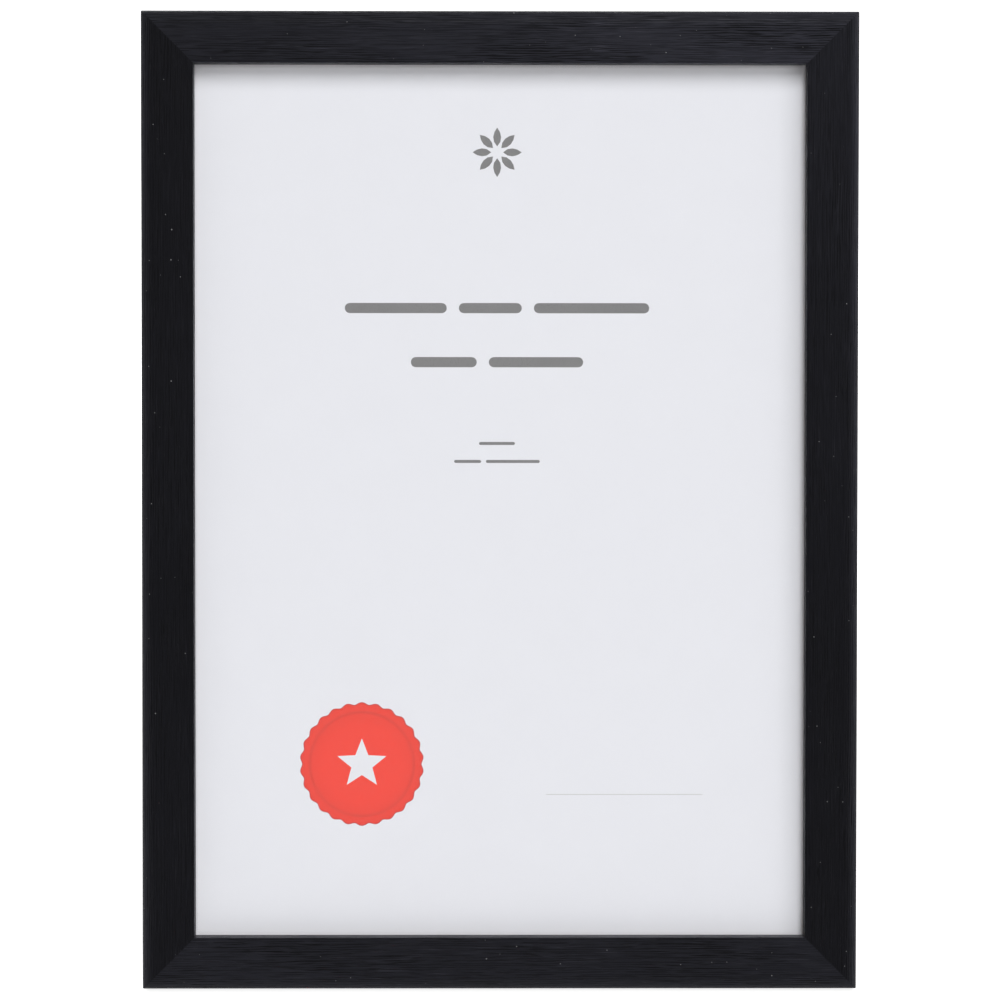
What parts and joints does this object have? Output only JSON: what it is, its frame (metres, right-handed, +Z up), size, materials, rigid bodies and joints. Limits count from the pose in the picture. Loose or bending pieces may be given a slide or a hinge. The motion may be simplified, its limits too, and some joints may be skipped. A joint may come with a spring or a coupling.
{
  "type": "certificate frame",
  "caption": "Upright black certificate frame of mitred moulding, glazed, with turn buttons, a hanging ring and a hinged easel strut that stands it on a table.",
  "frame": {"origin": "on the table, under the centre of the standing frame's bounding box", "axes": "+Z up; -Y towards the viewer of the certificate; +X to the viewer's right; the frame leans back towards +Y"},
  "size_m": [0.238, 0.11, 0.3163],
  "materials": {
    "moulding": "black foil with a fine raised grain, satin",
    "glazing": "clear, polished",
    "sheet": "smooth white card",
    "filler": "plain grey card",
    "fibreboard": "brown hardboard, smooth",
    "hinge_steel": "zinc plated, stamped",
    "button_steel": "zinc plated, stamped",
    "rivet_steel": "bright tubular rivets",
    "screw_steel": "bright zinc",
    "bright_steel": "drawn wire, nickelled",
    "nail_steel": "plain steel"
  },
  "bodies": {
    "frame": {"backing_board": "fibreboard", "board_leaf": "hinge_steel", "board_leaf_rivets": "rivet_steel", "bottom_rail": "moulding", "certificate_sheet": "sheet", "corner_nails_bottom_left": "nail_steel", "corner_nails_bottom_right": "nail_steel", "corner_nails_top_left": "nail_steel", "corner_nails_top_right": "nail_steel", "filler_card": "filler", "glazing": "glazing", "hanger_rivet": "rivet_steel", "hanger_strap": "hinge_steel", "hinge_pin": "bright_steel", "left_rail": "moulding", "right_rail": "moulding", "top_rail": "moulding", "turn_button_screws": "screw_steel"},
    "strut": {"strut_board": "fibreboard", "strut_leaf": "hinge_steel", "strut_leaf_rivets": "rivet_steel"},
    "ring": {"hanger_ring": "bright_steel"},
    "button_bottom_left": {"turn_button_bottom_left": "button_steel"},
    "button_bottom_right": {"turn_button_bottom_right": "button_steel"},
    "button_top_left": {"turn_button_top_left": "button_steel"},
    "button_top_right": {"turn_button_top_right": "button_steel"},
    "button_left_lower": {"turn_button_left_lower": "button_steel"},
    "button_left_upper": {"turn_button_left_upper": "button_steel"},
    "button_right_lower": {"turn_button_right_lower": "button_steel"},
    "button_right_upper": {"turn_button_right_upper": "button_steel"}
  },
  "joints": [
    {"name": "strut_hinge", "type": "hinge", "parent": "frame", "child": "strut", "pos_m": [0, 0.01148, 0.19732], "axis": [1, 0, 0], "range_deg": [-27, 0]},
    {"name": "ring_swing", "type": "hinge", "parent": "frame", "child": "ring", "pos_m": [0, 0.03132, 0.27482], "axis": [1, 0, 0], "range_deg": [-7, 165]},
    {"name": "button_bottom_left_turn", "type": "hinge", "parent": "frame", "child": "button_bottom_left", "pos_m": [-0.06, -0.04125, 0.00594], "axis": [0, 0.9659, -0.2588], "range_deg": [-90, 90]},
    {"name": "button_bottom_right_turn", "type": "hinge", "parent": "frame", "child": "button_bottom_right", "pos_m": [0.06, -0.04125, 0.00594], "axis": [0, 0.9659, -0.2588], "range_deg": [-90, 90]},
    {"name": "button_top_left_turn", "type": "hinge", "parent": "frame", "child": "button_top_left", "pos_m": [-0.06, 0.0395, 0.30731], "axis": [0, 0.9659, -0.2588], "range_deg": [-90, 90]},
    {"name": "button_top_right_turn", "type": "hinge", "parent": "frame", "child": "button_top_right", "pos_m": [0.06, 0.0395, 0.30731], "axis": [0, 0.9659, -0.2588], "range_deg": [-90, 90]},
    {"name": "button_left_lower_turn", "type": "hinge", "parent": "frame", "child": "button_left_lower", "pos_m": [-0.1125, -0.02287, 0.07452], "axis": [0, 0.9659, -0.2588], "range_deg": [-90, 90]},
    {"name": "button_left_upper_turn", "type": "hinge", "parent": "frame", "child": "button_left_upper", "pos_m": [-0.1125, 0.02113, 0.23873], "axis": [0, 0.9659, -0.2588], "range_deg": [-90, 90]},
    {"name": "button_right_lower_turn", "type": "hinge", "parent": "frame", "child": "button_right_lower", "pos_m": [0.1125, -0.02287, 0.07452], "axis": [0, 0.9659, -0.2588], "range_deg": [-90, 90]},
    {"name": "button_right_upper_turn", "type": "hinge", "parent": "frame", "child": "button_right_upper", "pos_m": [0.1125, 0.02113, 0.23873], "axis": [0, 0.9659, -0.2588], "range_deg": [-90, 90]}
  ]
}
